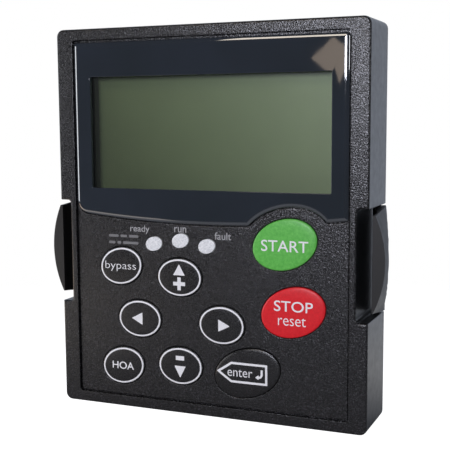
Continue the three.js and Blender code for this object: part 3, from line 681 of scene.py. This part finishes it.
BLACK = (0.0045, 0.0043, 0.0048)
# In the textured plastics, the last number is how many times lighter the painted glint grains are than the
# black plastic.
SHELL = textured_plastic("shell_plastic", BLACK, 0.38, 0.120, 0.31, 10.0)
SIDE_PLASTIC = smooth_plastic("side_plastic", (0.012, 0.0125, 0.014), 0.36, 0.6, 0.003, 0.08)
OVERLAY_SKIN = textured_plastic("overlay_plastic", BLACK, 0.38, 0.130, 0.31, 10.0)
KEY_BLACK = textured_plastic("key_plastic", BLACK, 0.36, 0.080, 0.35, 6.5)
LATCH_PLASTIC = smooth_plastic("latch_plastic", (0.012, 0.0115, 0.011), 0.50, 0.45, 0.012, 0.12, 0.4)
INK = printed_ink("white_ink", (0.84, 0.84, 0.86))
GREY_INK = printed_ink("grey_ink", (0.40, 0.40, 0.41))
DIM_INK = printed_ink("dim_ink", (0.17, 0.17, 0.175))
GREEN = key_plastic("green_plastic", (0.076, 0.385, 0.052), (0.146, 0.530, 0.096))
RED = key_plastic("red_plastic", (0.600, 0.007, 0.014), (0.760, 0.016, 0.024))
LENS = lens_plastic("polished_lens", 0.6, 1.5)
LENS_EDGE = lens_plastic("polished_lens_edge", 1.0, 1.75)
LAMP = lamp_plastic()


# ---- Pieces ----
def housing():
    """The front housing: border, skirt with its latch notches, and the pierced panel behind the overlay."""
    shape = Shape()
    steps = 5
    edge = rounding(HOUSING.front, HOUSING.back, FRONT_EDGE, REAR_EDGE, steps)
    outer = [shape.ring(skirt(inset), depth) for inset, depth in edge]
    for i in range(1, len(outer)):
        faces = shape.wall(outer[i - 1], outer[i], 1 if i > steps else 0)
        if i == steps + 1:
            pierce_pin_holes(shape, faces)
    rim = shape.column(border, [(0.15, 0.0), (0.04, 0.05), (0.0, 0.18), (0.0, PANEL_FRONT)])
    holes = [pane_seat]
    holes += [clear_of(key, KEY_CLEARANCE) for key in KEYS.values()]
    holes += [clear_of(lamp, GAP, LAMP_STEPS) for lamp in LAMPS.values()]
    through = [shape.column(hole, [(0.0, PANEL_FRONT), (0.0, PANEL_BACK)]) for hole in holes]
    cavity = shape.column(lambda inset: skirt(WALL + inset), [(0.0, PANEL_BACK), (0.0, HOUSING.back)])
    shape.cap([outer[0], rim[0]])
    shape.cap([rim[-1], *[rings[0] for rings in through]])
    shape.cap([cavity[0], *[rings[-1] for rings in through]])
    shape.cap([outer[-1], cavity[-1]])
    shape.piece("housing_shell", [SHELL, SIDE_PLASTIC], "housing", "housing_plastic", "front_housing")


def pierce_pin_holes(shape, faces):
    """Bores the blind holes that the latch pins turn in, through the flat ends of the notches."""
    for face in faces:
        for level, inward in ((NOTCH_LOW, -1), (NOTCH_HIGH, 1)):
            corners = list(face.verts)
            if max(abs(corner.co.z / MM - level) for corner in corners) > 0.01:
                continue
            middle = math.copysign(HOUSING.right - PIN_INBOARD, corners[0].co.x)
            rim = circle(middle, PIN_DEPTH, PIN_RADIUS + GAP, PIN_STEPS)
            mouth = [shape.bm.verts.new(place(u, v, level)) for u, v in rim]
            floor = [shape.bm.verts.new(place(u, v, level + inward * PIN_HOLE_LENGTH)) for u, v in rim]
            shape.bm.faces.remove(face)
            shape.wall(mouth, floor, 1)
            shape.cap([corners, mouth], 1)
            shape.cap([floor], 1)
            break


# What is printed on the overlay: the lamp labels as (text, x, z, width, height), and the two rows of
# dashes beside the first lamp as (z, widths).
LABELS = (
    ("ready", -23.3, 59.45, 7.0, 2.75),
    ("run", -8.8, 59.9, 4.2, 1.75),
    ("fault", 5.9, 58.5, 5.6, 2.35),
)
NOTE_ROWS = (
    (57.1, (3.6, 2.4, 3.4)),
    (54.9, (2.4, 1.4, 5.6)),
)
NOTE_LEFT, NOTE_SPACE, NOTE_STROKE, NOTE_CORNER = -34.8, 0.75, 0.85, 0.3
OVERLAY_PRINT_PROUD = 0.012


def overlay():
    """The keypad overlay, with the lamp labels printed on it."""
    shape = Shape()
    edge = rounding(OVERLAY.front, OVERLAY.back, 0.28, 0.05, 3)
    outlines = [overlay_rim]
    outlines += [clear_of(key, KEY_CLEARANCE) for key in KEYS.values()]
    outlines += [clear_of(lamp, KEY_CLEARANCE, LAMP_STEPS) for lamp in LAMPS.values()]
    shape.plate([(outline, edge) for outline in outlines])

    def level(x, z):
        return OVERLAY.front

    for text, x, z, width, height in LABELS:
        shape.letters(text, x, z, width, height, level, 1, 0.004, OVERLAY_PRINT_PROUD)
    for z, widths in NOTE_ROWS:
        left = NOTE_LEFT
        for width in widths:
            dash = rounded(rectangle(left + width / 2, z, width, NOTE_STROKE, NOTE_CORNER))
            shape.mark([dash], level, 2, OVERLAY_PRINT_PROUD)
            left += width + NOTE_SPACE
    inks = [OVERLAY_SKIN, GREY_INK, DIM_INK]
    shape.piece("overlay_sheet", inks, "housing", "overlay_plastic", "keypad_overlay")


def display_lens():
    """The polished lens, its edge rolled over, with the window for the display."""
    shape = Shape()
    front, back = BEZEL.front, BEZEL.back
    rim = shape.column(lens, rolled(LENS_ROLL, front, LENS_DROP, LENS_ROLL_STEPS) + [(0.0, back)], 1)
    hole = shape.column(aperture, rounding(front, back, 0.22, 0.05, 3))
    shape.cap([rim[0], hole[0]])
    shape.cap([rim[-1], hole[-1]])
    shape.piece("display_lens", [LENS, LENS_EDGE], "housing", "bezel_plastic", "display_bezel")


def crown(key):
    """The depth of a key's crowned face at (x, z)."""
    return lambda x, z: KEY_TOP + KEY_CROWN * key.share(x, z) ** KEY_CROWN_POWER


def key_cap(name):
    """One key: a crowned oval cap, its flange behind the panel, and what is printed on it."""
    key = KEYS[name]
    plastic, slot = COLORED_KEYS.get(name, (KEY_BLACK, "key_black"))
    shape = Shape()
    face = crown(key)
    insets = [RING_INSIDE + KEY_SHOULDER * i for i in (2, 1, 0)]
    insets += [(RING_INSIDE + RING_OUTSIDE) / 2, RING_OUTSIDE]
    rings = [shape.ring(key.outline(-inset), face) for inset in insets]
    for share in (0.8, 0.6, 0.4, 0.2):
        rings.insert(0, shape.ring(shrunk(key.outline(-insets[0]), key.x, key.z, share), face))
    for i in range(1, len(rings)):
        painted = name in RINGED_KEYS and i >= len(rings) - 2
        shape.wall(rings[i - 1], rings[i], 1 if painted else 0)
    shape.fan(rings[0], key.x, KEY_TOP, key.z)
    edge = rolled(-KEY_EDGE, KEY_TOP + KEY_CROWN, KEY_EDGE, 4)
    edge += [(0.0, KEY_FLANGE_FRONT), (KEY_FLANGE, KEY_FLANGE_FRONT), (KEY_FLANGE, KEY_END)]
    sides = shape.column(key.outline, edge)
    shape.wall(rings[-1], sides[0])
    shape.cap([sides[-1]])
    for text, x, z, width, height, bold in LEGENDS.get(name, ()):
        shape.letters(text, x, z, width, height, face, 1, bold)
    if name in ARROWHEADS:
        shape.mark([triangle(*ARROWHEADS[name], name)], face, 1)
    if name in SYMBOLS:
        SYMBOLS[name](shape, face)
    shape.piece(f"{name}_key", [plastic, INK], f"key_{name}_body", slot, f"key_{name}")


def triangle(x, z, width, height, direction):
    """A printed arrowhead in a box about (x, z), pointing up, down, left or right."""
    w, h = width / 2, height / 2
    corners = {
        "up": [(x - w, z - h), (x + w, z - h), (x, z + h)],
        "down": [(x - w, z + h), (x, z - h), (x + w, z + h)],
        "left": [(x + w, z - h), (x + w, z + h), (x - w, z)],
        "right": [(x - w, z + h), (x - w, z - h), (x + w, z)],
    }
    return rounded([(u, v, 0.12) for u, v in corners[direction]], steps=2)


def enter_symbol(shape, face):
    """A pointed tag round the word, and a return arrow."""
    point, shoulder, right, low, high = (3.6, 15.4), 8.6, 20.8, 12.1, 18.75
    tag = [point, (shoulder, low), (right, low), (right, high), (shoulder, high)]
    shape.band([(x, z, 0.15) for x, z in tag], 0.72, face, 1)
    bend_x, bend_z, bend = 17.9, 15.55, 0.7
    stem_end, stem_top, head_tip = 17.7, 17.0, (16.75, 14.5)
    stem = [(bend_x + bend, stem_top), (bend_x + bend, 15.6)] + arc(bend_x, bend_z, bend, 0, -90, 5)[1:]
    stem += [(stem_end, bend_z - 2 * bend)] + arc(bend_x, bend_z, 2 * bend, -90, 0, 6)[1:]
    stem.append((bend_x + 2 * bend, stem_top))
    head = rounded([(*head_tip, 0.1), (bend_x, 13.75, 0.1), (bend_x, 15.3, 0.1)], steps=2)
    shape.mark([stem[::-1]], face, 1)
    shape.mark([head], face, 1, 0.05)


def plus_symbol(shape, face):
    x, z = KEYS["up"].x, 42.55
    long, short = 2.1, 0.6
    corner = [(-long, -short), (-short, -short), (-short, -long)]
    plus = []
    for _ in range(4):
        plus += [(x + u, z + v) for u, v in corner]
        corner = [(-v, u) for u, v in corner]
    shape.mark([plus], face, 1)


def minus_symbol(shape, face):
    shape.mark([rounded(rectangle(KEYS["down"].x, 18.2, 3.0, 1.4, 0.1), steps=2)], face, 1)


# What is printed on the keys: words as (text, x, z, width, height, boldness), arrowheads as (x, z, width,
# height), and symbols by function.
LEGENDS = {
    "start": [("START", 26.35, 56.35, 15.1, 3.5, 0.004)],
    "stop": [("STOP", 29.25, 37.85, 12.5, 3.3, 0.006), ("reset", 28.8, 33.2, 8.95, 2.7, -0.006)],
    "enter": [("enter", 11.6, 15.3, 8.4, 2.35, -0.004)],
    "bypass": [("bypass", KEYS["bypass"].x - 0.1, 47.0, 11.4, 3.25, -0.010)],
    "hoa": [("HOA", KEYS["hoa"].x, 13.8, 8.0, 2.45, 0.008)],
}
ARROWHEADS = {
    "up": (KEYS["up"].x, 47.1, 4.1, 3.6),
    "down": (KEYS["down"].x, 13.65, 4.0, 3.9),
    "left": (-24.55, 30.15, 3.9, 4.1),
    "right": (6.3, 30.05, 3.95, 3.9),
}
SYMBOLS = {"enter": enter_symbol, "up": plus_symbol, "down": minus_symbol}
COLORED_KEYS = {"start": (GREEN, "key_green"), "stop": (RED, "key_red")}
RINGED_KEYS = ("bypass", "hoa", "up", "down", "left", "right")


def lamp(name):
    """A lamp's window: a slightly domed oval that stands a little proud of the overlay."""
    oval = LAMPS[name]
    span = Span(f"lamp_window_{name}")
    shape = Shape()
    outline = oval.outline(0, LAMP_STEPS)
    rings = []
    for share in (0.25, 0.5, 0.75, 0.9, 0.97):
        small = shrunk(outline, oval.x, oval.z, share)
        rings.append(shape.ring(small, span.front + LAMP_RISE * share ** 3))
    rings.append(shape.ring(outline, span.front + LAMP_RISE + 0.1))
    rings.append(shape.ring(outline, span.back))
    for first, second in zip(rings, rings[1:]):
        shape.wall(first, second)
    shape.fan(rings[0], oval.x, span.front, oval.z)
    shape.cap([rings[-1]])
    shape.piece(f"{name}_lamp", [LAMP], "housing", "lamp_white", f"lamp_window_{name}")


def latch(name, side):
    """A squeeze latch: a bowed arm that widens towards its root, and the pins it turns on."""
    shape = Shape()
    edge = HOUSING.right
    pivot = edge - PIN_INBOARD
    root_front = PIN_DEPTH - ROOT_HALF
    margin = 1.0

    def outer(depth, z):
        """The outer face: bowed along its height, and sloping in to the root behind the straight part."""
        drop = ARM_BOW_RADIUS - math.sqrt(ARM_BOW_RADIUS ** 2 - (z - ARM_BOW_MIDDLE) ** 2)
        share = max(0, (depth - ARM_STRAIGHT) / (ARM_BACK - ARM_STRAIGHT))
        slope = ARM_BULGE + (ARM_ROOT_BULGE - ARM_BULGE) * share
        return edge + min(max(ARM_BULGE - drop, ARM_TIP), slope)

    plan = [("in", ARM_FRONT, edge + ARM_INNER)]
    plan += [("out", depth, 0) for depth in ARM_DEPTHS]
    plan += [("in", ARM_BACK, pivot - ROOT_HALF), ("in", root_front, pivot - ROOT_HALF)]
    plan += [("in", ARM_STRAIGHT + 1, edge + ARM_INNER)]
    rings = []
    for i in range(ARM_STEPS + 1):
        ring = []
        for kind, depth, x in plan:
            lean = (depth - ARM_FRONT + margin) / (ARM_BACK - ARM_FRONT + 2 * margin)
            low = ARM_FRONT_LOW + (ARM_LOW - ARM_FRONT_LOW) * lean
            high = ARM_FRONT_HIGH + (ARM_HIGH - ARM_FRONT_HIGH) * lean
            z = low + (high - low) * i / ARM_STEPS
            across = outer(depth, z) if kind == "out" else x
            ring.append(shape.bm.verts.new(place(side * across, depth, z)))
        rings.append(ring)
    for first, second in zip(rings, rings[1:]):
        shape.wall(first, second)
    for ring in (rings[0], rings[-1]):
        shape.bm.faces.new(ring)
    pin = circle(side * pivot, PIN_DEPTH, PIN_RADIUS, PIN_STEPS)
    for start, end in ((ARM_LOW - PIN_LENGTH, ARM_LOW + 1), (ARM_HIGH - 1, ARM_HIGH + PIN_LENGTH)):
        levels = [[shape.bm.verts.new(place(u, v, z)) for u, v in pin] for z in (start, end)]
        shape.wall(*levels)
        for level in levels:
            shape.cap([level])
    made = shape.piece(f"{name}_arm", [LATCH_PLASTIC], f"{name}_body", "latch_plastic", name)
    ease_edges(made, ARM_EDGE, 3)
    made.modifiers.move(1, 0)  # the bevel goes before the weighted normals


def ease_edges(item, width, segments):
    """Rounds an object's sharp edges."""
    bevel = item.modifiers.new("eased_edges", "BEVEL")
    bevel.width = width * MM
    bevel.segments = segments
    bevel.limit_method = "ANGLE"
    bevel.angle_limit = math.radians(EDGE_ANGLE)


def dress(node, material, bevel=0.0, segments=2):
    """Gives a CAD node its material and eases its edges."""
    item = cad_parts[node]
    item.data.materials.clear()
    item.data.materials.append(material)
    if bevel:
        flat = item.modifiers.new("clean_faces", "DECIMATE")
        flat.decimate_type = "DISSOLVE"
        flat.angle_limit = math.radians(FLAT_ANGLE)
        ease_edges(item, bevel, segments)
        item.modifiers.new("weighted_normals", "WEIGHTED_NORMAL").keep_sharp = True


housing()
overlay()
display_lens()
for key_name in KEYS:
    key_cap(key_name)
for lamp_name in LAMPS:
    lamp(lamp_name)
latch("latch_left", -1)
latch("latch_right", 1)

STEEL = plated_metal("zinc_plate", (0.56, 0.57, 0.58), 0.33)
TIN = plated_metal("tin_plate", (0.60, 0.60, 0.58), 0.28)
SPRING = plated_metal("spring_steel", (0.55, 0.56, 0.58), 0.25, (1, 1, 8))
DARK = smooth_plastic("dark_moulding", (0.016, 0.016, 0.017), 0.5)
BOARD = circuit_board("solder_resist")
RUBBER = smooth_plastic("strip_rubber", (0.04, 0.04, 0.042), 0.75)
RESIN = smooth_plastic("diode_resin", (0.80, 0.76, 0.52), 0.25)
dress("display_window", clear_pane())
dress("lcd_glass", display_face(), 0.15)
dress("lcd_frame", smooth_plastic("frame_plastic", (0.012, 0.014, 0.012), 0.5), 0.2)
dress("lcd_backlight", smooth_plastic("light_guide", (0.78, 0.80, 0.72), 0.35), 0.2)
for strip in ("contact_strip_upper", "contact_strip_lower"):
    dress(strip, RUBBER, 0.2)
for node_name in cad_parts:
    if node_name.startswith("dome_"):
        dress(node_name, SPRING)
    elif node_name.startswith("led_"):
        dress(node_name, RESIN, 0.15)
    elif "screw" in node_name:
        dress(node_name, STEEL, 0.12)
for board in ("key_board", "main_board"):
    dress(board, BOARD, 0.1)
for chip in ("board_connector", "microcontroller", "memory_chip"):
    dress(chip, DARK, 0.15)
dress("crystal", TIN, 0.3)
dress("capacitor", STEEL, 0.3)
dress("rear_cover", SHELL, 0.3, 3)
dress("socket_shell", TIN, 0.15)
dress("socket_contacts", DARK, 0.1)


# ---- Stage, light and camera: metres ----
FLOOR_HALF = 1.0
FLOOR_TONE = (0.46, 0.50)
GLOW_REACH, GLOW_MOST = 0.06, 0.62
FADE_FROM, FADE_TO = 0.09, 0.26

ROOM_COLOR, ROOM_FRONT, ROOM_REAR, ROOM_REACH = (0.89, 0.97, 1.13, 1), 0.03, 0.80, 0.6
LIGHTS = (
    # name, place, size, energy, colour, turn about its own axis in degrees
    ("softbox", (-0.01, -0.50, 0.176), (0.15, 0.10), 1.36, (0.85, 0.87, 1.0), 0.0),
    ("upper_card", (-0.12, -0.50, 0.40), (0.20, 0.20), 0.60, (1.0, 0.90, 0.78), 0.0),
    ("left_card", (-0.42, -0.27, 0.106), (0.14, 0.208), 0.42, (0.93, 0.95, 1.0), 0.0),
    ("right_card", (0.40, -0.29, 0.175), (0.10, 0.09), 0.3, (0.95, 0.96, 1.0), 0.0),
    ("low_card", (-0.105, -0.080, 0.006), (0.11, 0.045), 0.013, (1.0, 0.90, 0.80), 0.0),
    ("corner_card", (-0.165, -0.030, 0.010), (0.10, 0.055), 0.040, (1.0, 0.76, 0.58), 0.0),
    ("warm_card", (-0.099, -0.50, 0.141), (0.027, 0.027), 0.0070, (1.0, 0.80, 0.62), 45.0),
)

CAMERA_PLACE = (0.11915, -0.28086, 0.09555)
CAMERA_TURN = (83.048, 0.375, 22.901)
CAMERA_LENS, CAMERA_SENSOR, CAMERA_SHIFT = 75.2, 36, (0.00666, 0.01403)


def pale_floor():
    """A pale matt floor, brighter behind the keypad, which fades away into the white beyond it."""
    nodes = Nodes("pale_floor")
    tone = nodes.ramp(nodes.noise(90, 3), [(0.3, FLOOR_TONE[0]), (0.7, FLOOR_TONE[1])])
    shine = nodes.ramp(nodes.noise(40, 3), [(0.3, 0.75), (0.7, 0.85)])
    seen = nodes.node("ShaderNodeLightPath").outputs["Is Camera Ray"]
    depth = nodes.node("ShaderNodeSeparateXYZ", {"Vector": nodes.place}).outputs["Y"]
    behind = {"Value": depth, "From Min": 0.0, "From Max": GLOW_REACH, "To Max": GLOW_MOST}
    rear = nodes.node("ShaderNodeMapRange", behind)
    glow = nodes.node("ShaderNodeMath", {0: seen, 1: rear.outputs["Result"]}, operation="MAXIMUM").outputs[0]
    nodes.set(color=tone, roughness=shine, specular=0.2)
    nodes.set(emission_color=(1.0, 1.0, 1.0), emission_strength=glow)
    away = nodes.node("ShaderNodeVectorMath", {0: nodes.place}, operation="LENGTH")
    reach = {"Value": away.outputs["Value"], "From Min": FADE_FROM, "From Max": FADE_TO}
    fade = nodes.node("ShaderNodeMapRange", reach, interpolation_type="SMOOTHSTEP")
    clear = nodes.node("ShaderNodeBsdfTransparent")
    return nodes.blend(fade.outputs["Result"], nodes.shader, clear)


def lay_floor():
    """The floor under the keypad, as part of the stage."""
    half = FLOOR_HALF
    mesh = bpy.data.meshes.new("floor")
    corners = [(-half, -half, 0), (half, -half, 0), (half, half, 0), (-half, half, 0)]
    mesh.from_pydata(corners, [], [(0, 1, 2, 3)])
    mesh.materials.append(pale_floor())
    floor = bpy.data.objects.new("floor", mesh)
    bpy.context.scene.collection.objects.link(floor)


def area_light(name, position, size, energy, color, turn):
    """A soft rectangular lamp that faces the keypad."""
    data = bpy.data.lights.new(name, "AREA")
    data.shape = "RECTANGLE"
    data.size, data.size_y = size
    data.energy = energy
    data.color = color
    item = bpy.data.objects.new(name, data)
    item.location = position
    aim = (Vector((0, 0, HOUSING.z * MM)) - Vector(position)).to_track_quat("-Z", "Y")
    item.rotation_euler = (aim @ Quaternion((0, 0, 1), math.radians(turn))).to_euler()
    item.visible_camera = False
    bpy.context.scene.collection.objects.link(item)


def studio():
    """White where the camera looks past the keypad; a dim room in front of it and a paler one behind."""
    world = bpy.data.worlds.new("studio")
    world.use_nodes = True
    tree = world.node_tree
    room = tree.nodes["Background"]
    room.inputs["Color"].default_value = ROOM_COLOR
    towards = tree.nodes.new("ShaderNodeSeparateXYZ")
    level = tree.nodes.new("ShaderNodeMapRange")
    for socket, value in (("From Max", ROOM_REACH), ("To Min", ROOM_FRONT), ("To Max", ROOM_REAR)):
        level.inputs[socket].default_value = value
    white = tree.nodes.new("ShaderNodeBackground")
    white.inputs["Color"].default_value = (1, 1, 1, 1)
    both = tree.nodes.new("ShaderNodeMixShader")
    tree.links.new(tree.nodes.new("ShaderNodeTexCoord").outputs["Generated"], towards.inputs[0])
    tree.links.new(towards.outputs["Y"], level.inputs["Value"])
    tree.links.new(level.outputs["Result"], room.inputs["Strength"])
    tree.links.new(tree.nodes.new("ShaderNodeLightPath").outputs["Is Camera Ray"], both.inputs[0])
    tree.links.new(room.outputs[0], both.inputs[1])
    tree.links.new(white.outputs[0], both.inputs[2])
    tree.links.new(both.outputs[0], tree.nodes["World Output"].inputs["Surface"])
    bpy.context.scene.world = world


def place_camera():
    """The camera, in front of the keypad and to its right."""
    data = bpy.data.cameras.new("camera")
    data.lens, data.sensor_width = CAMERA_LENS, CAMERA_SENSOR
    data.shift_x, data.shift_y = CAMERA_SHIFT
    data.clip_start, data.clip_end = 0.01, 20
    item = bpy.data.objects.new("camera", data)
    item.location = CAMERA_PLACE
    item.rotation_euler = [math.radians(angle) for angle in CAMERA_TURN]
    bpy.context.scene.collection.objects.link(item)
    bpy.context.scene.camera = item


lay_floor()
for light in LIGHTS:
    area_light(*light)
studio()
bpy.context.scene.view_settings.view_transform = "Standard"
place_camera()
